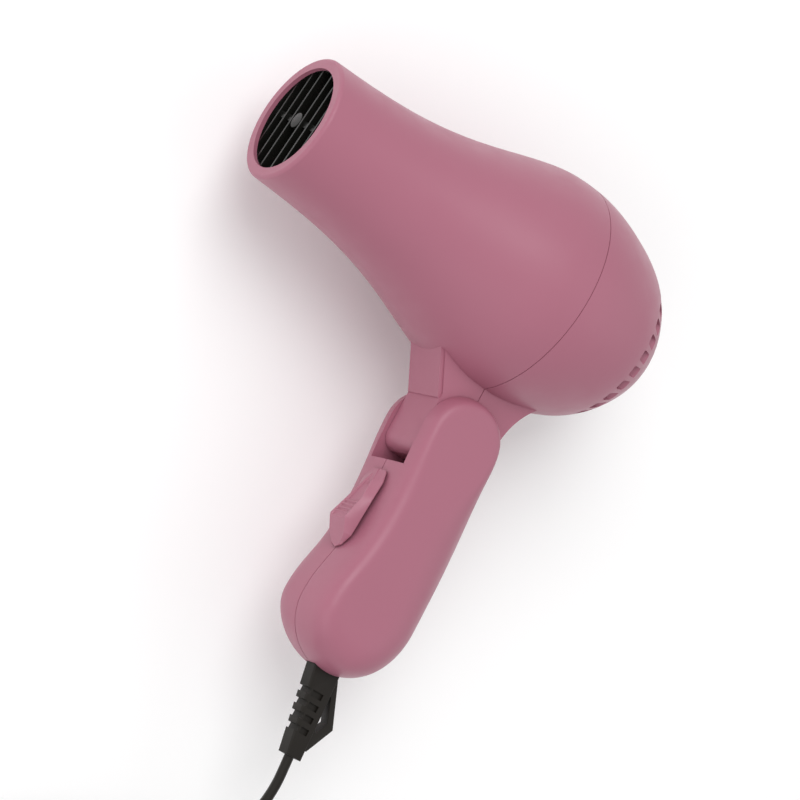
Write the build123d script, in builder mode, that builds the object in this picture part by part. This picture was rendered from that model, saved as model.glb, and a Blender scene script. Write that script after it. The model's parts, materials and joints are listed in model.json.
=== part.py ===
from build123d import *
import os
from math import cos, pi, radians, sin, sqrt

# Folding travel hair dryer, lying on its side. +X runs back along the barrel, +Y from the
# handle's end up to the barrel, +Z up from the surface. The origin is on that surface, under
# the middle of the dryer. Sizes are millimetres. Sketches use the dryer's own measures: x from
# the mouth, y from the barrel's axis, z from the mid-plane where the handle's halves meet.

os.makedirs("parts", exist_ok=True)

# Barrel
barrel_length = 154.0
nozzle_radius = 22.0
bulb_radius = 39.5
seam_x = 102.8
wall = 2.4
outlet_radius = 18.2
mouth_lip = 1.4
seam_lap = 2.5
loose = 0.2

# Neck and hinge
hinge_drop = 58.0
knuckle_radius = 14.0
neck_width = 19.4
post_step = 0.6
post_depth = 1.6
post_rise = 9.0
knuckle_drop = 10.5
knuckle_front = 13.4
knuckle_corner = 5.0
neck_front = 77.2
neck_rear = 125.5
neck_root = 28.0
slot_width = 20.0
slot_reach = 15.4
cheek_wall = 1.8
parting_gap = 0.16
parting_depth = 0.3
seam_groove = 0.3
hinge_tube_radius = 4.6
hinge_tube_bore = 3.2
running_fit = 0.05

# Handle
handle_thickness = 32.0
handle_end = 142.5
cap_radius = 15.2
front_round = 9.0
rear_round = 17.0
end_round = 13.0
cap_round = 6.0
grip_front = 88.7
belly_front = 84.0
belly_rear = 125.0
belly_x = 104.0
rear_swell = 123.9

# Slide switch
switch_travel = 4.4
switch_top = 77.6
switch_tip = 106.3
switch_rise = 82.0
switch_half_width = 5.9
stem_width = 4.8
stem_length = 10.0

# Blower and heater
fan_radius = bulb_radius - 6.5
fan_x = 109.5
blade_count = 7
motor_radius = 12.2
motor_front = 70.0
motor_length = 23.0
shaft_radius = 1.0
shield_radius = 18.4
coil_radius = 15.2
coil_wire = 0.9
slot_count = 30

# Cord, strain relief and plug
relief_seat = 140.2
relief_end = 171.0
relief_thickness = 6.0
cord_width = 5.6
cord_thickness = 3.4
tube_diameter = 4.6
coil_mid_radius = 30.0
coil_columns = 4
coil_layers = 2
coil_pitch = 3.6
coil_lift = 1.0
plug_width = 35.0
plug_height = 26.0
plug_length = 34.0
pin_radius = 2.4
pin_shank_radius = 1.9
pin_length = 19.0
pin_spacing = 19.0

hinge_x = seam_x
hinge_y = -hinge_drop
handle_half = handle_thickness / 2
neck_half = neck_width / 2
slot_half = slot_width / 2
surface = -bulb_radius
inner_radius = nozzle_radius - wall

home = Plane(
    origin=(-barrel_length / 2, (relief_end - bulb_radius) / 2, bulb_radius),
    x_dir=(1, 0, 0),
    z_dir=(0, 0, 1),
)
barrel_axis = Axis(home.origin, (1, 0, 0))


def at(x, y, z=0.0):
    """The point x from the mouth, y from the barrel's axis and z from the mid-plane."""
    return home.from_local_coords(Vector(x, y, z))


def side(z=0.0):
    """A plane parallel to the mid-plane, seen from the near side."""
    return home.offset(z)


def ring(x):
    """A plane across the barrel, whose own axes are the dryer's y and z."""
    return Plane(origin=at(x, 0), x_dir=(0, 1, 0), z_dir=(1, 0, 0))


def level(x, y):
    """A plane across the handle, whose own axes are the dryer's x and z, facing the cord."""
    return Plane(origin=at(x, y), x_dir=(1, 0, 0), z_dir=(0, -1, 0))


def block(x0, x1, y0, y1, z0, z1, mode=Mode.ADD):
    """A block between two corners, added to or cut from the piece being built."""
    with BuildSketch(side(z0)) as face:
        with Locations(((x0 + x1) / 2, (y0 + y1) / 2)):
            Rectangle(abs(x1 - x0), abs(y1 - y0))
    extrude(face.sketch, amount=z1 - z0, mode=mode)


def rod(centre, radius, z0, z1, mode=Mode.ADD):
    """A round bar across the dryer, from z0 to z1."""
    with BuildSketch(side(z0)) as face:
        with Locations(centre):
            Circle(radius)
    extrude(face.sketch, amount=z1 - z0, mode=mode)


def pipe(x0, x1, outer, inner=0.0, mode=Mode.ADD):
    """A round bar or tube on the barrel's axis, from x0 to x1."""
    with BuildSketch(ring(x0)) as face:
        Circle(outer)
        if inner:
            Circle(inner, mode=Mode.SUBTRACT)
    extrude(face.sketch, amount=x1 - x0, mode=mode)


def front_curve(inset=0.0):
    """The barrel's side line from the mouth to the seam: a long hollow flare."""
    shape = ((0, 0), (0.35, 0.127), (0.62, 0.475), (0.875, 0.934), (1, 1))
    rise = bulb_radius - nozzle_radius
    points = [(seam_x * u, nozzle_radius + rise * v - inset) for u, v in shape]
    Spline(*points, tangents=((1, 0.02), (1, 0)))


def rear_curve(inset=0.0):
    """The barrel's side line from the seam to the tip of the dome."""
    shape = ((0, 1), (0.414, 0.9), (0.707, 0.725), (0.922, 0.445), (1, 0))
    depth = barrel_length - seam_x - inset
    points = [(seam_x + depth * u, (bulb_radius - inset) * v) for u, v in shape]
    Spline(*points, tangents=((1, 0), (0, -1)))


def barrel_form(inset=0.0, mode=Mode.ADD):
    """The whole barrel as a solid of revolution, set in by inset."""
    with BuildSketch(home) as profile:
        with BuildLine():
            front_curve(inset)
            rear_curve(inset)
            Polyline((barrel_length - inset, 0), (0, 0), (0, nozzle_radius - inset))
        make_face()
    revolve(profile.sketch, axis=barrel_axis, mode=mode)


def neck_form():
    """The neck under the barrel: a narrow front post, a web and the round knuckle."""
    foot_x = hinge_x - knuckle_radius
    foot_y = hinge_y + post_rise
    shelf = hinge_y + 8.4
    rear_low = hinge_x + knuckle_radius + 0.4
    with BuildSketch(side(-neck_half)) as web:
        with BuildLine():
            Polyline(
                (neck_rear, -neck_root),
                (neck_front + post_depth, -neck_root),
                (foot_x + post_depth, foot_y),
                (hinge_x, hinge_y),
                (hinge_x + 8.0, shelf),
                (rear_low, shelf),
            )
            ThreePointArc((rear_low, shelf), (rear_low + 2.0, shelf + 7.5), (neck_rear, -33.0))
            Line((neck_rear, -33.0), (neck_rear, -neck_root))
        make_face()
        with Locations((hinge_x, hinge_y)):
            Circle(knuckle_radius)
        with Locations((hinge_x, hinge_y - knuckle_drop - knuckle_radius)):
            Rectangle(4 * knuckle_radius, 2 * knuckle_radius, mode=Mode.SUBTRACT)
        with Locations((hinge_x - knuckle_front - knuckle_radius, hinge_y - post_rise)):
            Rectangle(2 * knuckle_radius, 4 * post_rise, mode=Mode.SUBTRACT)
        with Locations(((hinge_x - knuckle_front / 2), hinge_y - knuckle_drop + knuckle_front)):
            RectangleRounded(knuckle_front, 2 * knuckle_front, knuckle_corner)
    extrude(web.sketch, amount=neck_width)
    with BuildSketch(side(post_step - neck_half)) as post:
        with BuildLine():
            Polyline(
                (neck_front, -neck_root),
                (foot_x, foot_y),
                (foot_x + post_depth + 1, foot_y - 1),
                (neck_front + post_depth + 1, -neck_root),
                close=True,
            )
        make_face()
    extrude(post.sketch, amount=neck_width - 2 * post_step)


def neck_hollow():
    """The wires' way from the hinge up into the barrel, and the hinge tube's seat."""
    reach = hinge_tube_radius - 0.6
    with BuildSketch(side(-wire_way / 2)) as way:
        with BuildLine():
            Polyline(
                (neck_front + 7, -neck_root + 4),
                (hinge_x - reach, hinge_y + 9),
                (hinge_x - reach, hinge_y),
                (hinge_x + reach, hinge_y),
                (hinge_x + reach, hinge_y + 9),
                (neck_rear - 8, -neck_root + 4),
                close=True,
            )
        make_face()
    extrude(way.sketch, amount=wire_way, mode=Mode.SUBTRACT)
    rod((hinge_x, hinge_y), hinge_tube_radius, -neck_half, neck_half, Mode.SUBTRACT)


# Neck screws: two, side by side, driven forward from the back of the neck
wire_way = 7.2
neck_screw_y = hinge_y + 11.6
neck_screw_z = 6.3
neck_screw_radius = 1.1
neck_screw_head = 2.0
neck_screw_seat = 111.0
neck_screw_tip = 94.0

with BuildPart() as front_housing:
    barrel_form()
    neck_form()
    barrel_form(wall, Mode.SUBTRACT)
    pipe(0, mouth_lip, nozzle_radius - wall / 2, outlet_radius)
    fillet(front_housing.faces().sort_by(Axis.X)[0].outer_wire().edges(), 1.2)
    split(bisect_by=ring(seam_x), keep=Keep.BOTTOM)
    chamfer(front_housing.faces().sort_by(Axis.X)[-1].outer_wire().edges(), seam_groove)
    pipe(seam_x, seam_x + seam_lap, bulb_radius - wall / 2 - loose, bulb_radius - wall)
    neck_hollow()
    with BuildSketch(ring(neck_screw_tip)):
        with Locations((neck_screw_y, -neck_screw_z), (neck_screw_y, neck_screw_z)):
            Circle(neck_screw_radius)
    extrude(amount=seam_x - neck_screw_tip + 1, mode=Mode.SUBTRACT)
front_housing.part.label = "front_housing"
export_step(front_housing.part, "parts/front_housing.step")

# Intake holes stand in a ring on the dome, and a ledge inside carries the screen
intake_ring = 0.6937 * bulb_radius
intake_slot = 3.9
dome_station = 0.414
screen_x = seam_x + dome_station * (barrel_length - seam_x)
screen_radius = 0.8 * bulb_radius
ledge_radius = 0.9 * bulb_radius - wall + 0.25

with BuildPart() as rear_housing:
    barrel_form()
    neck_form()
    barrel_form(wall, Mode.SUBTRACT)
    split(bisect_by=ring(seam_x), keep=Keep.TOP)
    pipe(seam_x, seam_x + seam_lap + loose, bulb_radius - wall / 2, bulb_radius - wall - 2,
         Mode.SUBTRACT)
    pipe(screen_x + 1.3, screen_x + 2.7, ledge_radius, screen_radius - 1.4)
    neck_hollow()
    with BuildSketch(ring(screen_x + 4)):
        with PolarLocations(intake_ring, slot_count):
            RectangleRounded(intake_slot, intake_slot, 0.8)
    extrude(amount=barrel_length - screen_x, mode=Mode.SUBTRACT)
    with BuildSketch(ring(seam_x)):
        with Locations((neck_screw_y, -neck_screw_z), (neck_screw_y, neck_screw_z)):
            Circle(neck_screw_radius + loose)
    extrude(amount=neck_rear - seam_x, mode=Mode.SUBTRACT)
    with BuildSketch(ring(neck_screw_seat)):
        with Locations((neck_screw_y, -neck_screw_z), (neck_screw_y, neck_screw_z)):
            Circle(neck_screw_head + loose)
    extrude(amount=neck_rear - neck_screw_seat, mode=Mode.SUBTRACT)
rear_housing.part.label = "rear_housing"
export_step(rear_housing.part, "parts/rear_housing.step")

with BuildPart() as neck_screws:
    for z in (-neck_screw_z, neck_screw_z):
        with BuildSketch(ring(neck_screw_tip + 0.5)):
            with Locations((neck_screw_y, z)):
                Circle(neck_screw_radius)
        extrude(amount=neck_screw_seat - neck_screw_tip - 0.5)
        with BuildSketch(ring(neck_screw_seat)):
            with Locations((neck_screw_y, z)):
                Circle(neck_screw_head)
        extrude(amount=1.6)
        with BuildSketch(ring(neck_screw_seat + 0.8)):
            with Locations((neck_screw_y, z)):
                Rectangle(0.6, 2.4)
                Rectangle(2.4, 0.6)
        extrude(amount=1.0, mode=Mode.SUBTRACT)
neck_screws.part.label = "neck_screws"
export_step(neck_screws.part, "parts/neck_screws.step")

# Outlet grille: a rim behind the mouth's lip, leaning fins, one bar behind them and a boss
grille_depth = 7.0
fin_depth = 4.0
fin_thickness = 0.8
fin_lean = radians(11)
boss_radius = 2.6
grille_radius = inner_radius - loose

with BuildPart() as outlet_grille:
    pipe(mouth_lip, mouth_lip + grille_depth, grille_radius, grille_radius - 1.4)
    across = Plane(origin=at(mouth_lip, 0), x_dir=(0, cos(fin_lean), sin(fin_lean)), z_dir=(1, 0, 0))
    with BuildSketch(across):
        for level_z in (-14.1, -8.8, -3.5, 3.5, 8.8, 14.1):
            half = sqrt((grille_radius - 0.7) ** 2 - level_z**2)
            with Locations((0, level_z)):
                Rectangle(2 * half, fin_thickness)
    extrude(amount=fin_depth)
    with BuildSketch(across.offset(1.0)):
        Rectangle(2.0, 2 * grille_radius - 1.4)
    extrude(amount=fin_depth - 1.0)
    pipe(mouth_lip, mouth_lip + fin_depth, boss_radius)
outlet_grille.part.label = "outlet_grille"
export_step(outlet_grille.part, "parts/outlet_grille.step")

# Heater: a mica tube round two crossed mica plates that hold the resistance coils
heater_front = 14.0
heater_rear = 58.0
plate_half = 17.2
plate_thickness = 0.6
coil_stations = [heater_front + 6 + 6.4 * i for i in range(6)]

with BuildPart() as heat_shield:
    pipe(heater_front - 1, heater_rear + 2, shield_radius, shield_radius - 0.5)
heat_shield.part.label = "heat_shield"
export_step(heat_shield.part, "parts/heat_shield.step")


def coil_rings(radius, mode=Mode.ADD):
    """The coils' runs round the plates, or with a larger radius the holes they pass."""
    with BuildSketch(home) as runs:
        with Locations(*[(x, coil_radius) for x in coil_stations]):
            Circle(radius)
    revolve(runs.sketch, axis=barrel_axis, mode=mode)


with BuildPart() as heating_coils:
    coil_rings(coil_wire)
heating_coils.part.label = "heating_coils"
export_step(heating_coils.part, "parts/heating_coils.step")

with BuildPart() as heater_frame:
    block(heater_front, heater_rear, -plate_half, plate_half, -plate_thickness / 2, plate_thickness / 2)
    block(heater_front, heater_rear, -plate_thickness / 2, plate_thickness / 2, -plate_half, plate_half)
    coil_rings(coil_wire + 0.1, Mode.SUBTRACT)
heater_frame.part.label = "heater_frame"
export_step(heater_frame.part, "parts/heater_frame.step")

with BuildPart() as thermostat:
    block(44, 53, 2, 10, plate_thickness / 2, plate_thickness / 2 + 3.2)
    block(53, 56.5, 3, 4.5, plate_thickness / 2, plate_thickness / 2 + 0.5)
    block(53, 56.5, 7.5, 9, plate_thickness / 2, plate_thickness / 2 + 0.5)
thermostat.part.label = "thermostat"
export_step(thermostat.part, "parts/thermostat.step")

with BuildPart() as thermal_fuse:
    with BuildSketch(ring(42)):
        with Locations((-6, plate_thickness / 2 + 1.6)):
            Circle(1.6)
    extrude(amount=10)
thermal_fuse.part.label = "thermal_fuse"
export_step(thermal_fuse.part, "parts/thermal_fuse.step")

# Motor holder: a collar for the heat shield, a sleeve for the motor and the guide vanes
sleeve_wall = 1.5
holder_radius = 29.4
vane_front = 80.0
vane_rear = 92.0
vane_count = 9

with BuildPart() as motor_holder:
    sleeve_outer = motor_radius + loose + sleeve_wall
    pipe(motor_front, motor_front + motor_length, sleeve_outer, motor_radius + loose)
    pipe(vane_front, vane_rear, holder_radius, holder_radius - 1.4)
    pipe(heater_rear - 2, heater_rear + 6, shield_radius + loose + 1.2, shield_radius + loose)
    with BuildSketch(ring(vane_front)):
        with PolarLocations((sleeve_outer + holder_radius - 1) / 2, vane_count):
            Rectangle(holder_radius - sleeve_outer - 0.4, 1.2)
    extrude(amount=vane_rear - vane_front)
    with BuildSketch(ring(heater_rear + 3)):
        with PolarLocations((sleeve_outer + shield_radius) / 2 + 0.6, 4, start_angle=45):
            Rectangle(shield_radius - sleeve_outer + 2.4, 1.6)
    extrude(amount=motor_front - heater_rear)
    with BuildSketch(ring(vane_front + 4)):
        with PolarLocations(holder_radius + 1.9, 3):
            Rectangle(4.2, 4)
    extrude(amount=5)
motor_holder.part.label = "motor_holder"
export_step(motor_holder.part, "parts/motor_holder.step")

motor_rear = motor_front + motor_length
magnet_gap = 0.5
magnet_depth = 2.0
can_wall = 0.8

with BuildPart() as motor_can:
    pipe(motor_front, motor_rear, motor_radius, motor_radius - can_wall)
    pipe(motor_rear - can_wall, motor_rear, motor_radius - can_wall / 2, shaft_radius + loose)
    pipe(motor_rear, motor_rear + 1.5, 3.0, shaft_radius + running_fit)
motor_can.part.label = "motor_can"
export_step(motor_can.part, "parts/motor_can.step")

with BuildPart() as motor_magnets:
    outer = motor_radius - can_wall
    pipe(motor_front + 5, motor_rear - 3, outer, outer - magnet_depth)
    block(motor_front, motor_rear, -3, 3, -outer - 1, outer + 1, Mode.SUBTRACT)
motor_magnets.part.label = "motor_magnets"
export_step(motor_magnets.part, "parts/motor_magnets.step")

with BuildPart() as motor_end_cap:
    pipe(motor_front - 2.4, motor_front, motor_radius, shaft_radius + running_fit)
    pipe(motor_front, motor_front + 1.2, motor_radius - can_wall - 0.05, 6.0)
motor_end_cap.part.label = "motor_end_cap"
export_step(motor_end_cap.part, "parts/motor_end_cap.step")

armature_radius = motor_radius - can_wall - magnet_depth - magnet_gap

with BuildPart() as motor_armature:
    pipe(motor_front + 6, motor_rear - 4, armature_radius, shaft_radius)
    with BuildSketch(ring(motor_front + 6)):
        with PolarLocations(armature_radius, 5):
            Rectangle(5, 1.6)
    extrude(amount=motor_length - 10, mode=Mode.SUBTRACT)
    pipe(motor_front + 1.8, motor_front + 6, 3.2, shaft_radius)
motor_armature.part.label = "motor_armature"
export_step(motor_armature.part, "parts/motor_armature.step")

with BuildPart() as motor_shaft:
    pipe(motor_front - 4, fan_x + 4, shaft_radius)
motor_shaft.part.label = "motor_shaft"
export_step(motor_shaft.part, "parts/motor_shaft.step")

board_x = motor_front - 4.0
with BuildPart() as rectifier_board:
    pipe(board_x - 1.4, board_x, 11.0, shaft_radius + 1)
rectifier_board.part.label = "rectifier_board"
export_step(rectifier_board.part, "parts/rectifier_board.step")

with BuildPart() as rectifier_diodes:
    for y in (-6, 6):
        for z in (-5, 5):
            with BuildSketch(ring(board_x - 6.4)):
                with Locations((y, z)):
                    Circle(1.3)
            extrude(amount=5)
rectifier_diodes.part.label = "rectifier_diodes"
export_step(rectifier_diodes.part, "parts/rectifier_diodes.step")

# Fan: pitched blades on a cup-shaped hub pressed on the shaft
fan_hub_radius = 9.0
blade_chord = 15.0
blade_pitch = 38.0
with BuildPart() as fan_impeller:
    pipe(fan_x - 5, fan_x + 5.5, fan_hub_radius, shaft_radius)
    pipe(fan_x - 5, fan_x + 3, fan_hub_radius - 1.4, 3.0, Mode.SUBTRACT)
    for turn in range(blade_count):
        angle = radians(360 * turn / blade_count)
        outward = Vector(0, cos(angle), sin(angle))
        root = Plane(origin=at(fan_x, 0) + outward * (fan_hub_radius - 0.8),
                     x_dir=(1, 0, 0), z_dir=outward)
        with BuildSketch(root):
            Rectangle(1.2, blade_chord, rotation=90 - blade_pitch)
        extrude(amount=fan_radius - fan_hub_radius)
fan_impeller.part.label = "fan_impeller"
export_step(fan_impeller.part, "parts/fan_impeller.step")

with BuildPart() as intake_screen:
    pipe(screen_x, screen_x + 1.2, screen_radius)
    with BuildSketch(ring(screen_x)):
        for radius, count in ((6.5, 8), (12, 14), (17.5, 20), (23, 26)):
            with PolarLocations(radius, count):
                Circle(2.0)
    extrude(amount=1.2, mode=Mode.SUBTRACT)
intake_screen.part.label = "intake_screen"
export_step(intake_screen.part, "parts/intake_screen.step")

# Hinge: a hollow tube held in the knuckle and turning in the handle's two cheeks
cheek_face = slot_half + cheek_wall

with BuildPart() as hinge_tube:
    rod((hinge_x, hinge_y), hinge_tube_radius, -cheek_face, cheek_face)
    rod((hinge_x, hinge_y), hinge_tube_bore, -cheek_face, cheek_face, Mode.SUBTRACT)
    block(hinge_x - 3, hinge_x + 3, hinge_y, hinge_y + 6, -wire_way / 2, wire_way / 2, Mode.SUBTRACT)
hinge_tube.part.label = "hinge_tube"
export_step(hinge_tube.part, "parts/hinge_tube.step")

washer_thickness = slot_half - neck_half - 0.1
with BuildPart() as hinge_washers:
    for z in (-neck_half - washer_thickness, neck_half):
        rod((hinge_x, hinge_y), 9.0, z, z + washer_thickness)
        rod((hinge_x, hinge_y), hinge_tube_radius, z, z + washer_thickness, Mode.SUBTRACT)
hinge_washers.part.label = "hinge_washers"
export_step(hinge_washers.part, "parts/hinge_washers.step")


def wire(points, radius, bend):
    """One insulated wire along straight runs joined by arcs."""
    places = [at(*point) for point in points]
    with BuildLine() as path:
        FilletPolyline(*places, radius=bend)
    with BuildSketch(Plane(origin=places[0], z_dir=places[1] - places[0])) as section:
        Circle(radius)
    sweep(section.sketch, path=path.line)


# Three wires run up the near cheek, through the hinge tube and on into the barrel
wire_radius = 0.75
wire_pitch = 1.7
cheek_way = cheek_face + 0.9

with BuildPart() as barrel_wires:
    for lane in (-1, 0, 1):
        x = hinge_x + wire_pitch * lane
        z = 1.9 * lane
        wire(
            [(x, hinge_y, 7.6), (x, hinge_y, z), (x, -42, z), (89, -33.4, z), (77, -30.4, z), (66, -20, z)],
            wire_radius, 1.5,
        )
barrel_wires.part.label = "barrel_wires"
export_step(barrel_wires.part, "parts/barrel_wires.step")

with BuildPart() as handle_wires:
    for lane in (-1, 0, 1):
        x = hinge_x + wire_pitch * lane
        wire(
            [(x, -91, 4.0), (x, -84, 7.5), (x, -77.5, cheek_way), (x, hinge_y, cheek_way), (x, hinge_y, 8)],
            wire_radius, 1.5,
        )
handle_wires.part.label = "handle_wires"
export_step(handle_wires.part, "parts/handle_wires.step")


def round_off(depth, t, power):
    """How far an edge has drawn in at height t, from 0 at the mid-plane to 1 at the side."""
    return depth * (1 - (1 - t**power) ** (1 / power))


def handle_outline(sign, t, inset):
    """Outline of the handle at share t of its half thickness: cap, grip, round end and back."""
    front = inset + round_off(front_round - inset, t, 4)
    rear = inset + round_off(rear_round - inset, t, 2.2)
    end = inset + round_off(end_round - inset, t, 2.4)
    cap = cap_radius - inset - round_off(cap_round - inset, t, 4)
    lean = radians(14)
    cap_rear = (hinge_x + cap * cos(lean), hinge_y + cap * sin(lean))
    cap_front = (hinge_x - cap, hinge_y)
    belly = -handle_end + 18.5
    hip = -handle_end + 24.5
    tail = (belly_x, -handle_end + end)
    front_low = (belly_front + front, belly)
    rear_low = (belly_rear - rear, hip)
    with BuildSketch(side(sign * t * (handle_half - inset))) as outline:
        with BuildLine():
            Spline(cap_front, (grip_front + front, hinge_y - 22), (grip_front - 1.5 + front, hinge_y - 48),
                   front_low, tangents=((0, -1), (0, -1)))
            EllipticalCenterArc((belly_x, belly), belly_x - front_low[0], belly - tail[1], 180, arc_size=90)
            EllipticalCenterArc((belly_x, hip), rear_low[0] - belly_x, hip - tail[1], 270, arc_size=90)
            Spline(rear_low, (rear_swell - rear, hinge_y - 24), cap_rear,
                   tangents=((0, 1), (-sin(lean), cos(lean))))
            ThreePointArc(cap_rear, (hinge_x, hinge_y + cap), cap_front)
        make_face()
    return outline.sketch


def handle_form(sign, inset=0.0, mode=Mode.ADD):
    """Half the handle, lofted from the mid-plane out to its near or far side."""
    loft([handle_outline(sign, t, inset) for t in (0, 0.35, 0.6, 0.8, 0.92, 0.98, 1)], mode=mode)


def slot_form(sign, grow, mode):
    """Half the slot that takes the knuckle and the folded neck, or the walls round it."""
    reach = slot_reach + grow
    shelf = 8.0 - grow
    depth = slot_half + grow
    rear_x = hinge_x + sqrt(reach**2 - shelf**2)
    with BuildSketch(side(0)) as slot:
        with BuildLine():
            Polyline(
                (hinge_x, hinge_y - reach),
                (hinge_x - 40, hinge_y - reach),
                (hinge_x - 40, hinge_y + 40),
                (hinge_x + 40, hinge_y + 40),
                (hinge_x + 40, hinge_y + shelf),
                (rear_x, hinge_y + shelf),
            )
            ThreePointArc(
                (rear_x, hinge_y + shelf),
                (hinge_x + reach * cos(pi / 6), hinge_y - reach * sin(pi / 6)),
                (hinge_x, hinge_y - reach),
            )
        make_face()
    extrude(slot.sketch, amount=sign * depth, mode=mode)


# Fixings inside the handle: three long screws from the far side, and the cord clamp's two
handle_screw_places = ((112.0, -86.0), (114.0, -114.0), (92.5, -123.0))
handle_screw_radius = 1.2
screw_seat = 8.0
clamp_screw_places = ((98.6, -126.0), (109.9, -126.0))
clamp_screw_radius = 1.0
clamp_level = cord_width / 2 + 0.1
seat_inner = relief_seat - 4.7
switch_x0, switch_x1 = 92.0, 100.0
switch_y0, switch_y1 = -106.0, -78.0


def handle_hollow(sign):
    """The space inside half the handle, round the slot's walls, bosses, ribs and cord seat."""
    with BuildPart() as hollow:
        handle_form(sign, wall)
        slot_form(sign, cheek_wall, Mode.SUBTRACT)
        boss = 3.2 if sign > 0 else 4.2
        for place in handle_screw_places:
            rod(place, boss, 0, sign * handle_half, Mode.SUBTRACT)
        for y in (switch_y0 + 3, switch_y1 - 3):
            block(switch_x0 + 1, switch_x1 - 1, y - 1, y + 1, sign * 7, sign * handle_half, Mode.SUBTRACT)
        block(95, 113.5, -handle_end - 1, -seat_inner, 0, sign * 6.5, Mode.SUBTRACT)
    return hollow.part


def handle_openings(sign):
    """The slot, hinge hole, switch window and strain relief seat in half the handle."""
    slot_form(sign, 0, Mode.SUBTRACT)
    rod((hinge_x, hinge_y), hinge_tube_radius + running_fit, 0, sign * cheek_face, Mode.SUBTRACT)
    window_top = stem_y + stem_length / 2 + switch_travel + 0.4
    window_low = stem_y - stem_length / 2 - 0.4
    block(80, switch_x0, window_low, window_top, 0, sign * (stem_width / 2 + 0.3), Mode.SUBTRACT)
    block(98.6, 109.9, -handle_end - 1, -relief_seat, 0, sign * (relief_thickness / 2 + 0.2), Mode.SUBTRACT)
    block(99.2, 109.3, -relief_seat, -seat_inner, 0, sign * 2.7, Mode.SUBTRACT)


def parting_groove(sign):
    """The shallow groove round the shell's edge, where the two halves meet."""
    with BuildPart() as groove:
        handle_form(sign)
        handle_form(sign, parting_depth, mode=Mode.SUBTRACT)
        block(hinge_x - 40, hinge_x + 40, -handle_end - 5, hinge_y + 25, 0, sign * parting_gap,
              Mode.INTERSECT)
    return groove.part


stem_y = -92.0
near_space = handle_hollow(1)
far_space = handle_hollow(-1)

with BuildPart() as handle_shell_near:
    handle_form(1)
    add(near_space, mode=Mode.SUBTRACT)
    add(parting_groove(1), mode=Mode.SUBTRACT)
    handle_openings(1)
    for place in handle_screw_places:
        rod(place, handle_screw_radius, 0, 10, Mode.SUBTRACT)
handle_shell_near.part.label = "handle_shell_near"
export_step(handle_shell_near.part, "parts/handle_shell_near.step")

with BuildPart() as handle_shell_far:
    handle_form(-1)
    add(far_space, mode=Mode.SUBTRACT)
    for place in clamp_screw_places:
        rod(place, 2.6, -handle_half + wall / 2, clamp_level)
        rod(place, clamp_screw_radius, -5, clamp_level, Mode.SUBTRACT)
    add(parting_groove(-1), mode=Mode.SUBTRACT)
    handle_openings(-1)
    for place in handle_screw_places:
        rod(place, handle_screw_radius + loose, -screw_seat, 0, Mode.SUBTRACT)
        rod(place, 2.6, -handle_half, -screw_seat, Mode.SUBTRACT)
handle_shell_far.part.label = "handle_shell_far"
export_step(handle_shell_far.part, "parts/handle_shell_far.step")

with BuildPart() as handle_screws:
    for place in handle_screw_places:
        rod(place, handle_screw_radius, -screw_seat, 9)
        rod(place, 2.3, -screw_seat - 1.8, -screw_seat)
        with BuildSketch(side(-screw_seat - 1.0)):
            with Locations(place):
                Rectangle(0.6, 2.8)
                Rectangle(2.8, 0.6)
        extrude(amount=-1.0, mode=Mode.SUBTRACT)
handle_screws.part.label = "handle_screws"
export_step(handle_screws.part, "parts/handle_screws.step")

# Slide switch: an almond-shaped thumb piece that ramps up to a sharp lower end
with BuildPart() as switch_slider:
    with BuildSketch(side(-switch_half_width)):
        with BuildLine():
            Spline((grip_front - 1.8, -switch_top), (86.0, -82.6), (84.6, -88.8), (switch_rise, -97.0))
            Polyline(
                (switch_rise, -97.0),
                (switch_rise + 0.4, -98.0),
                (grip_front - 2.6, -switch_tip),
                (grip_front - 2.1, -switch_tip),
                (grip_front - 0.8, -switch_top),
                (grip_front - 1.8, -switch_top),
            )
        make_face()
    extrude(amount=2 * switch_half_width)
    with BuildSketch(ring(switch_rise - 1)):
        with BuildLine():
            for half in (switch_half_width, -switch_half_width):
                Spline((-switch_top, 0), (-switch_top - 1.4, 0.74 * half), (-switch_top - 6.5, half),
                       (-switch_top - 18.0, 0.93 * half), (-switch_tip, 0),
                       tangents=((0, half), (-0.5, -half)))
        make_face()
    extrude(amount=14, mode=Mode.INTERSECT)
    block(grip_front - 3.5, switch_x0 + 1.6, stem_y - stem_length / 2, stem_y + stem_length / 2,
          -stem_width / 2, stem_width / 2)
switch_slider.part.label = "switch_slider"
export_step(switch_slider.part, "parts/switch_slider.step")

groove_top = stem_y + stem_length / 2 + switch_travel + 0.6
with BuildPart() as switch_body:
    block(switch_x0 + 0.2, switch_x1, switch_y0, switch_y1, -6.8, 6.8)
    block(switch_x0, switch_x0 + 4.2, stem_y - stem_length / 2 - 0.6, groove_top,
          -stem_width / 2 - 0.3, stem_width / 2 + 0.3, Mode.SUBTRACT)
switch_body.part.label = "switch_body"
export_step(switch_body.part, "parts/switch_body.step")

with BuildPart() as switch_terminals:
    for y in (-84, -92, -100):
        block(switch_x1, switch_x1 + 4.5, y - 0.4, y + 0.4, -2, 2)
switch_terminals.part.label = "switch_terminals"
export_step(switch_terminals.part, "parts/switch_terminals.step")

with BuildPart() as detent_spring:
    crests = [(switch_x0 + (2.4 if i % 2 else 3.4), stem_y - 4 + 1.1 * i) for i in range(12)]
    with BuildSketch(side(-stem_width / 2)):
        with BuildLine():
            Polyline(*crests, *[(x + 0.4, y) for x, y in reversed(crests)], close=True)
        make_face()
    extrude(amount=stem_width)
detent_spring.part.label = "detent_spring"
export_step(detent_spring.part, "parts/detent_spring.step")

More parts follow.
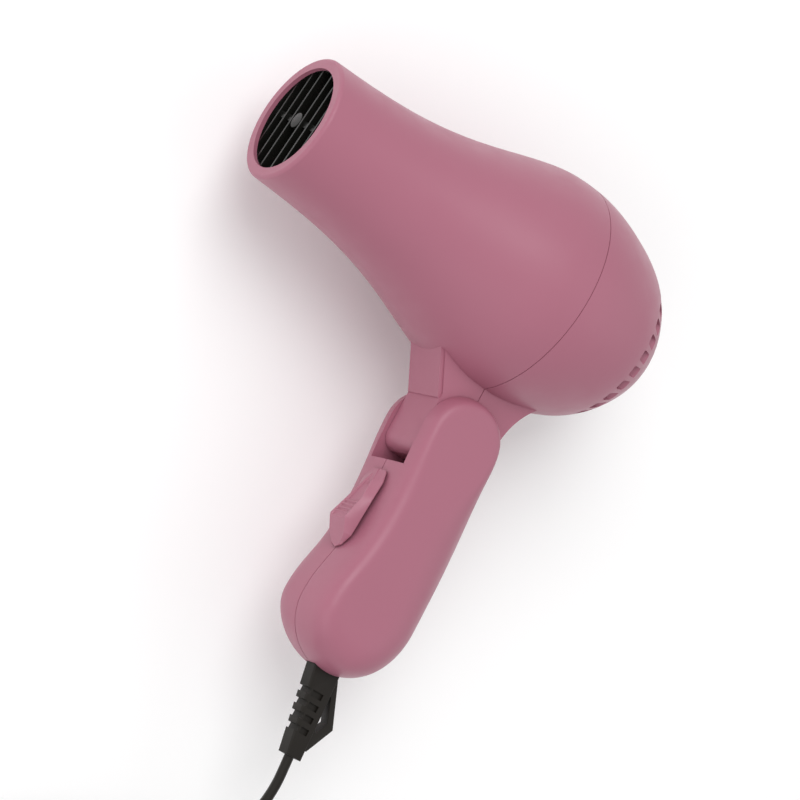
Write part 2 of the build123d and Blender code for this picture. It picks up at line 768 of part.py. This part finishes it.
# Strain relief: a tapered, ribbed sleeve with a hang loop on its rear side
relief_top_x = 104.25
relief_low_x = 108.55
with BuildPart() as strain_relief:
    with BuildSketch(level(relief_top_x, -relief_seat)):
        RectangleRounded(10.8, relief_thickness, 0.6)
    with BuildSketch(level(relief_low_x, -relief_end)):
        RectangleRounded(6.0, relief_thickness, 0.6)
    loft()
    with BuildSketch(side(-2.2)):
        with BuildLine():
            Polyline((109.0, -142.6), (110.2, -142.8), (117.2, -157.3), (112.0, -167.4), (109.6, -167.4),
                     close=True)
        make_face()
    extrude(amount=4.4)
    with BuildSketch(side(-5)):
        with BuildLine():
            Polyline((110.0, -148.4), (110.8, -148.4), (114.3, -156.4), (112.0, -160.8), (110.9, -159.8),
                     close=True)
        make_face()
    extrude(amount=10, mode=Mode.SUBTRACT)
    for i in range(4):
        y = -150.2 - 4.0 * i
        edge = 98.85 + 0.218 * (-relief_seat - y)
        block(edge - 3, edge + 1.3, y - 0.95, y + 0.95, -5, 5, Mode.SUBTRACT)
        for z in (2.1, -2.1):
            block(edge + 2.0, edge + 6.4 - 0.4 * i, y - 1.05, y + 1.05, z, 2 * z, Mode.SUBTRACT)
    block(99.4, 109.1, -relief_seat, -seat_inner, -2.5, 2.5)
    block(97.6, 110.9, -seat_inner, 3 - seat_inner, -4.2, 4.2)
strain_relief.part.label = "strain_relief"
export_step(strain_relief.part, "parts/strain_relief.step")


def flat_cord_section():
    """Section of the flat twin cord, its width across the dryer."""
    SlotOverall(cord_width, cord_thickness, rotation=90)


inner_cord_end = -117.0
with BuildPart() as cord_inside:
    with BuildSketch(level(relief_top_x, inner_cord_end)):
        flat_cord_section()
    extrude(amount=seat_inner - 3 + inner_cord_end)
cord_inside.part.label = "cord_inside"
export_step(cord_inside.part, "parts/cord_inside.step")

with BuildPart() as cord_clamp:
    block(96.2, 112.3, -128.6, -123.4, clamp_level, clamp_level + 2.4)
    for place in clamp_screw_places:
        rod(place, clamp_screw_radius + loose, clamp_level, clamp_level + 2.4, Mode.SUBTRACT)
cord_clamp.part.label = "cord_clamp"
export_step(cord_clamp.part, "parts/cord_clamp.step")

with BuildPart() as clamp_screws:
    for place in clamp_screw_places:
        rod(place, clamp_screw_radius, -4.5, clamp_level + 2.4)
        rod(place, 1.9, clamp_level + 2.4, clamp_level + 3.8)
clamp_screws.part.label = "clamp_screws"
export_step(clamp_screws.part, "parts/clamp_screws.step")

with BuildPart() as supply_wires:
    for z, y in ((-1.4, -92.0), (1.4, -100.0)):
        wire([(relief_top_x, inner_cord_end + 0.4, z), (relief_top_x + 2, inner_cord_end + 8, z),
              (switch_x1 + 4.7 + 0.9, y - 5, z), (switch_x1 + 4.6 + 0.9, y, z)], 0.9, 2.0)
supply_wires.part.label = "supply_wires"
export_step(supply_wires.part, "parts/supply_wires.step")

# The free cord droops from the strain relief to the surface, then into a tied round coil.
# A point's last number is its height above the surface.
coil_level = coil_lift + cord_width / 2
outer_turn = coil_mid_radius + coil_pitch * (coil_columns - 1) / 2
coil_x = 111.8 - outer_turn
coil_y = -263.0
lead_route = [
    (relief_low_x, -relief_end, bulb_radius),
    (110.4, -184.6, 38.2),
    (112.3, -203.0, 27.0),
    (112.9, -222.0, 13.4),
    (112.4, -241.5, 5.0),
    (coil_x + outer_turn, coil_y, coil_level),
]
tail_route = [
    (coil_x, coil_y - outer_turn, coil_level + cord_width + 0.4),
    (60.8, coil_y - outer_turn - 1.1, 11.0),
    (45.0, coil_y - outer_turn - 0.6, plug_height / 2),
]


def lay_cord(route):
    """A round tube of the flat cord's bulk: straight runs joined by the largest arcs."""
    places = [at(x, y, height + surface) for x, y, height in route]
    runs = [b - a for a, b in zip(places, places[1:])]
    radii = []
    for one, two in zip(runs, runs[1:]):
        half_turn = radians(one.get_angle(two) / 2)
        radii.append(0.45 * min(one.length, two.length) * cos(half_turn) / sin(half_turn))
    with BuildLine() as path:
        FilletPolyline(*places, radius=radii)
    with BuildSketch(Plane(origin=places[0], z_dir=runs[0])) as section:
        Circle(tube_diameter / 2)
    sweep(section.sketch, path=path.line)
    length = sum(edge.length for edge in path.edges())
    print("cord radii", [round(r, 1) for r in radii], "length", round(length, 1))
    return pi * tube_diameter**2 / 4 * length


with BuildPart() as cord_lead:
    expected = lay_cord(lead_route)
print("lead volume over section times length", round(cord_lead.part.volume / expected, 4))
cord_lead.part.label = "cord_lead"
export_step(cord_lead.part, "parts/cord_lead.step")

with BuildPart() as cord_tail:
    expected = lay_cord(tail_route)
print("tail volume over section times length", round(cord_tail.part.volume / expected, 4))
cord_tail.part.label = "cord_tail"
export_step(cord_tail.part, "parts/cord_tail.step")

band_width = coil_pitch * coil_columns
band_height = (cord_width + 0.2) * coil_layers
with BuildPart() as cord_coil:
    with BuildSketch(side(surface + coil_lift)):
        with Locations((coil_x, coil_y)):
            Circle(coil_mid_radius + band_width / 2)
            Circle(coil_mid_radius - band_width / 2, mode=Mode.SUBTRACT)
    extrude(amount=band_height)
    fillet(cord_coil.edges(), 1.6)
cord_coil.part.label = "cord_coil"
export_step(cord_coil.part, "parts/cord_coil.step")

tie_width = 12.0
with BuildPart() as cord_tie:
    with BuildSketch(Plane(origin=at(coil_x - coil_mid_radius, coil_y - tie_width / 2, surface),
                           x_dir=(1, 0, 0), z_dir=(0, 1, 0))):
        with Locations((0, -coil_lift - band_height / 2)):
            RectangleRounded(band_width + 3.4, band_height + 2 * (coil_lift - 0.1), 1.6)
            RectangleRounded(band_width + 1.6, band_height, 1.2, mode=Mode.SUBTRACT)
    extrude(amount=tie_width)
cord_tie.part.label = "cord_tie"
export_step(cord_tie.part, "parts/cord_tie.step")

# Plug: an oblong grip that swells to the face with the two round pins
plug_y = tail_route[-1][1]
relief_length = 12.0
plug_rear = tail_route[-1][0]
plug_face = plug_rear - relief_length - plug_length


def plug_plane(x):
    """A plane across the plug at x, seen from behind it."""
    return Plane(origin=at(x, plug_y, surface + plug_height / 2), x_dir=(0, 1, 0), z_dir=(-1, 0, 0))


with BuildPart() as plug_body:
    with BuildSketch(plug_plane(plug_rear)):
        Circle(3.6)
    with BuildSketch(plug_plane(plug_rear - relief_length)):
        Circle(5.0)
    loft()
    with BuildSketch(plug_plane(plug_rear - relief_length)):
        RectangleRounded(16, 14, 5)
    with BuildSketch(plug_plane(plug_rear - relief_length - 14)):
        RectangleRounded(24, 20, 7)
    with BuildSketch(plug_plane(plug_face + 9)):
        RectangleRounded(plug_width - 0.8, plug_height - 0.8, 9)
    loft()
    with BuildSketch(plug_plane(plug_face + 9)):
        RectangleRounded(plug_width, plug_height, 9.4)
    extrude(amount=9)
    with BuildSketch(plug_plane(plug_face + 8)):
        with Locations((-pin_spacing / 2, 0), (pin_spacing / 2, 0)):
            Circle(pin_shank_radius)
    extrude(amount=8, mode=Mode.SUBTRACT)
plug_body.part.label = "plug_body"
export_step(plug_body.part, "parts/plug_body.step")

with BuildPart() as plug_pins:
    with BuildSketch(plug_plane(plug_face + 8)):
        with Locations((-pin_spacing / 2, 0), (pin_spacing / 2, 0)):
            Circle(pin_shank_radius)
    extrude(amount=8)
    with BuildSketch(plug_plane(plug_face)):
        with Locations((-pin_spacing / 2, 0), (pin_spacing / 2, 0)):
            Circle(pin_radius)
    extrude(amount=pin_length)
    fillet(plug_pins.faces().sort_by(Axis.X)[:2].edges(), 1.0)
plug_pins.part.label = "plug_pins"
export_step(plug_pins.part, "parts/plug_pins.step")

turns = (coil_columns * coil_layers) - 0.75
print("coil turns", turns, "length", round(turns * 2 * pi * coil_mid_radius))
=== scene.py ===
import json
import bmesh
import bpy
import numpy as np
from mathutils import Matrix, Vector


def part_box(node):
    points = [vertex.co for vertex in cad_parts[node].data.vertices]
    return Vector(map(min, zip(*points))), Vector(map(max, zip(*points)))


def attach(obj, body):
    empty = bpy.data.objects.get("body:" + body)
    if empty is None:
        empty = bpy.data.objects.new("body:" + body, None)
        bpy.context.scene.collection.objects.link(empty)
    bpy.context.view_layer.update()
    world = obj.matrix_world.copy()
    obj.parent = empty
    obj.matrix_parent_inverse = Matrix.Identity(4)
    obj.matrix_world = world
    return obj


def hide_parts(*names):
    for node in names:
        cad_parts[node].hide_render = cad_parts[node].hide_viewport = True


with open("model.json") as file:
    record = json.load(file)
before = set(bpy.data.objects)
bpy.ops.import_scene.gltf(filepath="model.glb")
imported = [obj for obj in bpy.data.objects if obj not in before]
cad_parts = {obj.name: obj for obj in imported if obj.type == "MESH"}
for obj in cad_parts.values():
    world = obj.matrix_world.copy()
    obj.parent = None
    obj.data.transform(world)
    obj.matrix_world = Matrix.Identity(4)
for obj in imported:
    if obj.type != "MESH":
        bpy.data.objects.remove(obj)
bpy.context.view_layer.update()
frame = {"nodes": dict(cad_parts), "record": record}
cadNodes = frame["nodes"]
mm = 0.001

# The dryer's own measures: x back from the mouth, y from the barrel's axis, z from the mid-plane
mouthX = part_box("front_housing")[0].x
barrelLow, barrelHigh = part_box("heat_shield")
dryerOrigin = np.array([mouthX, (barrelLow.y + barrelHigh.y) / 2, (barrelLow.z + barrelHigh.z) / 2])


# Millimetres in the dryer's own measures become metres in the model's frame.
def place(points):
    return np.asarray(points, float) * mm + dryerOrigin


# Each vector over its own length.
def unit(vectors):
    vectors = np.asarray(vectors, float)
    return vectors / np.maximum(np.linalg.norm(vectors, axis=-1, keepdims=True), 1e-12)


# A mesh object from an array of points in metres and a list of faces.
def meshPiece(name, points, faces, smooth=True):
    mesh = bpy.data.meshes.new(name)
    mesh.from_pydata(np.asarray(points, float).reshape(-1, 3).tolist(), [], faces)
    mesh.validate()
    mesh.polygons.foreach_set("use_smooth", np.full(len(mesh.polygons), smooth))
    mesh.update()
    piece = bpy.data.objects.new(name, mesh)
    bpy.context.scene.collection.objects.link(piece)
    return piece


# Quads over a grid of points, row by row, wrapping round where a direction is closed.
def gridFaces(rows, columns, closeRows=False, closeColumns=False, first=0):
    i, j = np.meshgrid(
        np.arange(rows if closeRows else rows - 1),
        np.arange(columns if closeColumns else columns - 1),
        indexing="ij",
    )
    i, j = i.ravel(), j.ravel()
    nextI, nextJ = (i + 1) % rows, (j + 1) % columns
    corners = (i * columns + j, nextI * columns + j, nextI * columns + nextJ, i * columns + nextJ)
    return (np.stack(corners, 1) + first).tolist()


# Edges sharper than the angle stay crisp while the rest shade smoothly.
def keepOpenEdges(piece, angle):
    piece.data.set_sharp_from_angle(angle=np.radians(angle))


# Camera
print("camera")
cameraSettings = {
    "place": (-0.46300, -0.15563, 0.82278),
    "target": (0.00532, 0.01086, 0.03950),
    "roll": 101.49,
    "lens": 129.89,
    "sensor": 36.0,
}


# Looks from place to target, rolled about the line of sight by degrees.
def makeCamera(settings):
    forward = unit(np.subtract(settings["target"], settings["place"]))
    level = unit(np.cross(forward, (0, 0, 1)))
    lift = np.cross(level, forward)
    roll = np.radians(settings["roll"])
    right = level * np.cos(roll) + lift * np.sin(roll)
    up = np.cross(right, forward)
    data = bpy.data.cameras.new("studioCamera")
    data.lens, data.sensor_width = settings["lens"], settings["sensor"]
    data.clip_start, data.clip_end = 0.01, 20
    camera = bpy.data.objects.new("studioCamera", data)
    bpy.context.scene.collection.objects.link(camera)
    turn = Matrix(np.stack((right, up, -forward), 1).tolist()).to_4x4()
    camera.matrix_world = Matrix.Translation(settings["place"]) @ turn
    bpy.context.scene.camera = camera


makeCamera(cameraSettings)


# Cord
print("cord")
cordSettings = {
    "width": 5.6,
    "thickness": 3.4,
    "waist": 0.22,
    "waistHalf": 0.7,
    "wideRound": 0.8,
    "thinRound": 0.62,
    "sectionPoints": 22,
    "twist": -31.0,
    "twistStart": 34.0,
    "twistEnd": 84.0,
    "length": 1.46,
    "lead": [
        (31.1, -101.2, 39.5),
        (31.55, -105.25, 39.5),
        (33.4, -118.85, 38.2),
        (35.3, -137.25, 27.0),
        (35.9, -156.25, 13.4),
        (35.4, -175.75, 5.0),
    ],
    "coilCentre": (-0.6, -197.25),
    "outerTurn": 35.4,
    "pitch": 3.6,
    "turns": 3.4,
    "riseTurns": 0.45,
    "lowLevel": 3.8,
    "highLevel": 9.6,
    "pointsPerTurn": 16,
    "tail": [(-16.2, -233.75, 11.0), (-32.0, -233.25, 13.0), (-41.0, -233.25, 13.0)],
}


# The lead's points, then turns that spiral in on the lower layer, rise, and spiral out above.
def cordRoute(settings):
    total = 2 * settings["turns"] + settings["riseTurns"]
    count = int(round(total * settings["pointsPerTurn"])) + 1
    turn = np.linspace(0, total, count)
    inward = np.minimum(turn, settings["turns"])
    outward = np.maximum(turn - settings["turns"] - settings["riseTurns"], 0)
    radius = settings["outerTurn"] - settings["pitch"] * (inward - outward)
    # the smooth line cuts inside its points, so they stand out by most of that cut
    radius /= (1 + 3 * np.cos(np.pi / settings["pointsPerTurn"])) / 4
    climb = np.clip((turn - settings["turns"]) / settings["riseTurns"], 0, 1)
    step = settings["highLevel"] - settings["lowLevel"]
    height = settings["lowLevel"] + step * climb**2 * (3 - 2 * climb)
    centreX, centreY = settings["coilCentre"]
    angle = -2 * np.pi * turn
    coil = np.stack((centreX + radius * np.cos(angle), centreY + radius * np.sin(angle), height), 1)
    return np.concatenate((settings["lead"], coil, settings["tail"])) * mm


# The points of the NURBS line that a route's points control.
def smoothLine(points, resolution=8):
    curve = bpy.data.curves.new("routeLine", "CURVE")
    curve.dimensions = "3D"
    curve.resolution_u = resolution
    spline = curve.splines.new("NURBS")
    spline.points.add(len(points) - 1)
    spline.points.foreach_set("co", np.column_stack((points, np.ones(len(points)))).ravel())
    spline.order_u = 3
    spline.use_endpoint_u = True
    holder = bpy.data.objects.new("routeLine", curve)
    bpy.context.scene.collection.objects.link(holder)
    bpy.context.view_layer.update()
    mesh = bpy.data.meshes.new_from_object(holder.evaluated_get(bpy.context.evaluated_depsgraph_get()))
    line = np.zeros(len(mesh.vertices) * 3)
    mesh.vertices.foreach_get("co", line)
    bpy.data.objects.remove(holder)
    bpy.data.meshes.remove(mesh)
    return line.reshape(-1, 3)


# A flat twin section: an oval of the cord's width and thickness, drawn in at its waist.
def cordSection(settings):
    angle = np.linspace(0, 2 * np.pi, settings["sectionPoints"], endpoint=False)
    sine, cosine = np.sin(angle), np.cos(angle)
    wide = np.sign(sine) * np.abs(sine) ** settings["wideRound"] * settings["width"] / 2
    thin = np.sign(cosine) * np.abs(cosine) ** settings["thinRound"] * settings["thickness"] / 2
    thin *= 1 - settings["waist"] * np.exp(-((wide / settings["waistHalf"]) ** 2))
    return thin * mm, wide * mm


# The section carried along the line, its wide side upright, turned about it near the exit and eased
# out.
def sweepFlat(name, line, thin, wide, settings):
    along = unit(np.gradient(line, axis=0))
    level = unit(np.cross(along, (0, 0, 1)))
    upright = np.cross(level, along)
    run = np.concatenate(((0,), np.cumsum(np.linalg.norm(np.diff(line, axis=0), axis=1))))
    span = settings["twistEnd"] - settings["twistStart"]
    ease = np.clip((run / mm - settings["twistStart"]) / span, 0, 1)
    turn = np.radians(settings["twist"]) * (1 - ease**2 * (3 - 2 * ease))
    cosine, sine = np.cos(turn)[:, None], np.sin(turn)[:, None]
    level, upright = level * cosine + upright * sine, upright * cosine - level * sine
    rings = line[:, None] + level[:, None] * thin[None, :, None]
    rings = rings + upright[:, None] * wide[None, :, None]
    rows, columns = rings.shape[:2]
    faces = gridFaces(rows, columns, closeColumns=True)
    faces += [list(range(columns)), list(range((rows - 1) * columns, rows * columns))[::-1]]
    return meshPiece(name, rings, faces)


cordLine = smoothLine(cordRoute(cordSettings))
mainsCord = sweepFlat("mainsCord", cordLine, *cordSection(cordSettings), cordSettings)
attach(mainsCord, "handle")
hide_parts("cord_lead", "cord_coil", "cord_tail")


# Slide switch: its outline and heights are given at stations down the handle, then joined
print("slide switch")
sliderSettings = {
    "stations": [-77.4, -78.2, -81.8, -88.8, -94.4, -97.0, -98.0, -101.5, -103.2, -105.3, -106.3],
    "baseHalf": [4.0, 4.9, 6.2, 5.8, 5.6, 5.6, 5.6, 5.4, 4.3, 2.9, 0.4],
    "padHalf": [0.3, 0.6, 2.1, 3.9, 4.5, 4.7, 4.7, 4.5, 3.7, 2.3, 0.2],
    "padLevel": [87.3, 87.1, 86.0, 84.6, 82.8, 82.0, 82.4, 84.3, 85.2, 86.3, 86.5],
    "baseLevel": (87.9, 86.6),
    "rows": 180,
    "skirt": 0.3,
    "sideBulge": 0.1,
    "sideMix": 0.45,
    "rimRound": (0.14, 0.22),
    "leastRise": 0.1,
    "rimWidth": 0.55,
    "rimShare": 0.3,
    "dish": 0.55,
    "dishFrom": 1.1,
    "dishEase": 1.2,
    "dishEnd": -97.4,
    "dishEndEase": 0.5,
    "dishFloor": 1.5,
    "innerShares": (0.66, 0.33),
    "floorEdge": 1.4,
    "sharpAngle": 32,
    "ridges": 4,
    "ridgeFrom": -90.2,
    "ridgeTo": -96.2,
    "ridgeHeight": 0.5,
    "dimple": (-82.9, 0.75, 0.4),
}


# Across each station the points climb the sloped side to a rim, drop into a shallow dish and mirror.
# The dish's floor carries sine ridges near the crest and a round dimple near the top.
def sliderSurface(settings):
    y = np.linspace(settings["stations"][0], settings["stations"][-1], settings["rows"])
    down = -np.asarray(settings["stations"])

    def along(values):
        return np.interp(-y, down, values)

    base, pad, crest = along(settings["baseHalf"]), along(settings["padHalf"]), along(settings["padLevel"])
    foot = np.linspace(*settings["baseLevel"], settings["rows"])
    crest = np.minimum(crest, foot - settings["leastRise"])
    wideEnough = np.clip((pad - settings["dishFrom"]) / settings["dishEase"], 0, 1)
    inDish = wideEnough * np.clip((y - settings["dishEnd"]) / settings["dishEndEase"], 0, 1)
    rim = np.minimum(settings["rimWidth"], settings["rimShare"] * pad)
    inner = pad - settings["dishFloor"] * rim
    outwards, downwards = settings["rimRound"]
    halfway = 0.5 * (base + pad) + settings["sideBulge"]
    reach = [base, base, halfway, pad + outwards, pad, pad - rim, inner]
    reach += [share * inner for share in settings["innerShares"]] + [0 * pad]
    mix = settings["sideMix"]
    sunk = crest + settings["dish"] * inDish
    height = [foot, foot - settings["skirt"], mix * foot + (1 - mix) * crest, crest + downwards]
    height += [crest, crest, sunk, sunk, sunk, sunk]
    height = [np.minimum(level, foot) for level in height]
    z = np.stack([-side for side in reach] + reach[-2::-1], 1)
    x = np.stack(height + height[-2::-1], 1)
    floor = np.abs(z) < (pad - settings["floorEdge"] * rim)[:, None]
    share = (settings["ridgeFrom"] - y) / (settings["ridgeFrom"] - settings["ridgeTo"])
    wave = np.where((share > 0) & (share < 1), np.sin(np.pi * settings["ridges"] * share) ** 2, 0)
    x = x - settings["ridgeHeight"] * (wave * inDish)[:, None] * floor
    centre, radius, depth = settings["dimple"]
    away = np.hypot(y[:, None] - centre, z)
    x = x + depth * np.exp(-((away / radius) ** 4)) * floor
    points = place(np.stack((x, np.broadcast_to(y[:, None], x.shape), z), 2))
    rows, columns = x.shape
    faces = gridFaces(rows, columns)
    starts = np.arange(rows - 1) * columns
    underside = (starts + columns, starts, starts + columns - 1, starts + 2 * columns - 1)
    faces += np.stack(underside, 1).tolist()
    faces += [list(range(columns)), list(range((rows - 1) * columns, rows * columns))[::-1]]
    return points, faces


mergeDistance = 1e-6


# Doubled points are joined and every face is turned outwards
def tidyMesh(piece, flat=0.0):
    work = bmesh.new()
    work.from_mesh(piece.data)
    bmesh.ops.remove_doubles(work, verts=work.verts, dist=mergeDistance)
    if flat:
        angle = np.radians(flat)
        bmesh.ops.dissolve_limit(work, angle_limit=angle, verts=work.verts, edges=work.edges)
    bmesh.ops.recalc_face_normals(work, faces=work.faces)
    work.to_mesh(piece.data)
    work.free()


thumbSlide = meshPiece("thumbSlide", *sliderSurface(sliderSettings))
tidyMesh(thumbSlide)
keepOpenEdges(thumbSlide, sliderSettings["sharpAngle"])
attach(thumbSlide, "switch")
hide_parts("switch_slider")


# Moulded pieces: a merged copy of the CAD shape whose edges are rounded
print("moulded pieces")
roundSettings = {"flat": 2.0, "segments": 3, "angle": 32}
mouldedSettings = {
    "strainRelief": {"node": "strain_relief", "body": "handle", "slot": "black_pvc", "edge": 0.45},
    "plugMoulding": {"node": "plug_body", "body": "handle", "slot": "black_pvc", "edge": 0.9},
    "cordTie": {"node": "cord_tie", "body": "handle", "slot": "black_pvc", "edge": 0.35},
    "mouthGrille": {"node": "outlet_grille", "body": "barrel", "slot": "black_nylon", "edge": 0.16},
}


# A copy of the node's mesh, merged and with flat areas joined, gets its edges rounded off
def mouldedCopy(name, settings):
    source = cadNodes[settings["node"]]
    piece = bpy.data.objects.new(name, source.data.copy())
    bpy.context.scene.collection.objects.link(piece)
    tidyMesh(piece, flat=roundSettings["flat"])
    piece.data.polygons.foreach_set("use_smooth", np.full(len(piece.data.polygons), True))
    bevel = piece.modifiers.new("roundEdges", "BEVEL")
    bevel.width, bevel.segments = settings["edge"] * mm, roundSettings["segments"]
    bevel.limit_method, bevel.angle_limit = "ANGLE", np.radians(roundSettings["angle"])
    bevel.harden_normals = True
    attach(piece, settings["body"])
    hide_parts(settings["node"])
    return piece


moulded = {name: mouldedCopy(name, settings) for name, settings in mouldedSettings.items()}


# Floor and light
print("floor and light")
floorSettings = {"half": 3.0, "colour": (0.98, 0.98, 0.98), "roughness": 0.9}
worldStrength = 0.66
lightAim = (0, 0, 0.03)
lightSettings = {
    "keyLight": {"place": (-0.55, 0.55, 1.10), "size": 0.95, "watts": 8.3},
    "fillLight": {"place": (-0.75, -0.75, 0.70), "size": 1.1, "watts": 3.2},
    "backLight": {"place": (0.85, 0.25, 0.80), "size": 0.8, "watts": 0.9},
}


# A wide pale sheet for the object to lie on.
def makeStage():
    half = floorSettings["half"]
    corners = np.array([(-half, -half, 0), (half, -half, 0), (half, half, 0), (-half, half, 0)], float)
    floor = meshPiece("paleFloor", corners, [[0, 1, 2, 3]])
    material = bpy.data.materials.new("paleFloor")
    material.use_nodes = True
    shader = material.node_tree.nodes["Principled BSDF"]
    shader.inputs["Base Color"].default_value = (*floorSettings["colour"], 1)
    shader.inputs["Roughness"].default_value = floorSettings["roughness"]
    floor.data.materials.append(material)
    for name, light in lightSettings.items():
        data = bpy.data.lights.new(name, "AREA")
        data.shape, data.size, data.energy = "SQUARE", light["size"], light["watts"]
        lamp = bpy.data.objects.new(name, data)
        bpy.context.scene.collection.objects.link(lamp)
        aim = (Vector(lightAim) - Vector(light["place"])).to_track_quat("-Z", "Y")
        lamp.matrix_world = Matrix.Translation(light["place"]) @ aim.to_matrix().to_4x4()
    world = bpy.data.worlds.new("softWorld")
    bpy.context.scene.world = world
    world.use_nodes = True
    background = world.node_tree.nodes["Background"]
    background.inputs["Color"].default_value = (1, 1, 1, 1)
    background.inputs["Strength"].default_value = worldStrength
    bpy.context.scene.view_settings.view_transform = "Standard"


makeStage()


# Materials
print("materials")
textureSettings = {
    "cloud": (28, 3),
    "smudge": (9, 4),
    "grainDetail": 2,
    "noiseRange": (0.3, 0.7),
    "bump": 0.35,
}


# Moulded or drawn surface: colour drifts softly, roughness is smeared, and a fine grain stands up.
def finish(
    name, colour, roughness, grain=0.0, grainSize=0.3, drift=0.03, metallic=0.0, smear=0.05, specular=0.5
):
    material = bpy.data.materials.new(name)
    material.use_nodes = True
    nodes, links = material.node_tree.nodes, material.node_tree.links
    shader = nodes["Principled BSDF"]
    shader.inputs["Metallic"].default_value = metallic
    shader.inputs["Specular IOR Level"].default_value = specular
    where = nodes.new("ShaderNodeTexCoord")

    def noise(size, detail):
        node = nodes.new("ShaderNodeTexNoise")
        node.inputs["Scale"].default_value = 1 / (size * mm)
        node.inputs["Detail"].default_value = detail
        links.new(where.outputs["Object"], node.inputs["Vector"])
        return node

    def spread(source, low, high):
        node = nodes.new("ShaderNodeMapRange")
        limits = dict(zip(("From Min", "From Max"), textureSettings["noiseRange"]))
        limits.update({"To Min": low, "To Max": high})
        for socket, value in limits.items():
            node.inputs[socket].default_value = value
        links.new(source, node.inputs["Value"])
        return node

    cloud = noise(*textureSettings["cloud"])
    tone = nodes.new("ShaderNodeMix")
    tone.data_type = "RGBA"
    tone.inputs["A"].default_value = (*[c * (1 - drift) for c in colour], 1)
    tone.inputs["B"].default_value = (*[min(1, c * (1 + drift)) for c in colour], 1)
    links.new(cloud.outputs["Fac"], tone.inputs["Factor"])
    links.new(tone.outputs["Result"], shader.inputs["Base Color"])
    patches = noise(*textureSettings["smudge"])
    smudge = spread(patches.outputs["Fac"], roughness - smear, roughness + smear)
    links.new(smudge.outputs["Result"], shader.inputs["Roughness"])
    if grain:
        bump = nodes.new("ShaderNodeBump")
        bump.inputs["Strength"].default_value = textureSettings["bump"]
        bump.inputs["Distance"].default_value = grain * mm
        links.new(noise(grainSize, textureSettings["grainDetail"]).outputs["Fac"], bump.inputs["Height"])
        links.new(bump.outputs["Normal"], shader.inputs["Normal"])
    return material


materials = {
    "satin_pink": finish(
        "satinPink", (0.372, 0.130, 0.186), 0.40, grain=0.018, grainSize=0.32, drift=0.02, specular=0.42
    ),
    "switch_pink": finish("switchPink", (0.385, 0.138, 0.196), 0.42, grain=0.03, grainSize=0.3),
    "black_nylon": finish(
        "blackNylon", (0.006, 0.006, 0.005), 0.26, grain=0.02, grainSize=0.5, specular=0.30
    ),
    "mica": finish("micaSheet", (0.045, 0.038, 0.030), 0.45, grain=0.05, grainSize=1.2, drift=0.15),
    "nichrome": finish("nichromeWire", (0.10, 0.09, 0.08), 0.45, metallic=1.0, drift=0.2),
    "steel": finish("zincSteel", (0.60, 0.60, 0.61), 0.28, metallic=1.0, grain=0.01, grainSize=0.4),
    "brass": finish("brightBrass", (0.72, 0.50, 0.22), 0.25, metallic=1.0),
    "copper": finish("enamelledCopper", (0.55, 0.22, 0.10), 0.3, metallic=0.8, drift=0.12),
    "ferrite": finish("darkFerrite", (0.03, 0.03, 0.033), 0.6, grain=0.04, grainSize=0.4),
    "board": finish("paperBoard", (0.16, 0.10, 0.035), 0.55, grain=0.03, grainSize=0.6),
    "white_nylon": finish("naturalNylon", (0.72, 0.70, 0.62), 0.45, grain=0.02, grainSize=0.5),
    "wire_sleeve": finish("siliconeSleeve", (0.55, 0.55, 0.52), 0.5, grain=0.02, grainSize=0.4),
    "black_pvc": finish(
        "blackPvc", (0.013, 0.0105, 0.008), 0.5, grain=0.03, grainSize=0.4, drift=0.1, specular=0.24
    ),
    "plated_pin": finish("platedPin", (0.70, 0.69, 0.66), 0.16, metallic=1.0, drift=0.04),
}
slotOfNode = {part["node"]: part["material_slot"] for part in frame["record"]["subparts"]}
for name, node in cadNodes.items():
    node.data.materials.clear()
    node.data.materials.append(materials[slotOfNode[name]])
mainsCord.data.materials.append(materials["black_pvc"])
thumbSlide.data.materials.append(materials["switch_pink"])
for name, piece in moulded.items():
    piece.data.materials.clear()
    piece.data.materials.append(materials[mouldedSettings[name]["slot"]])
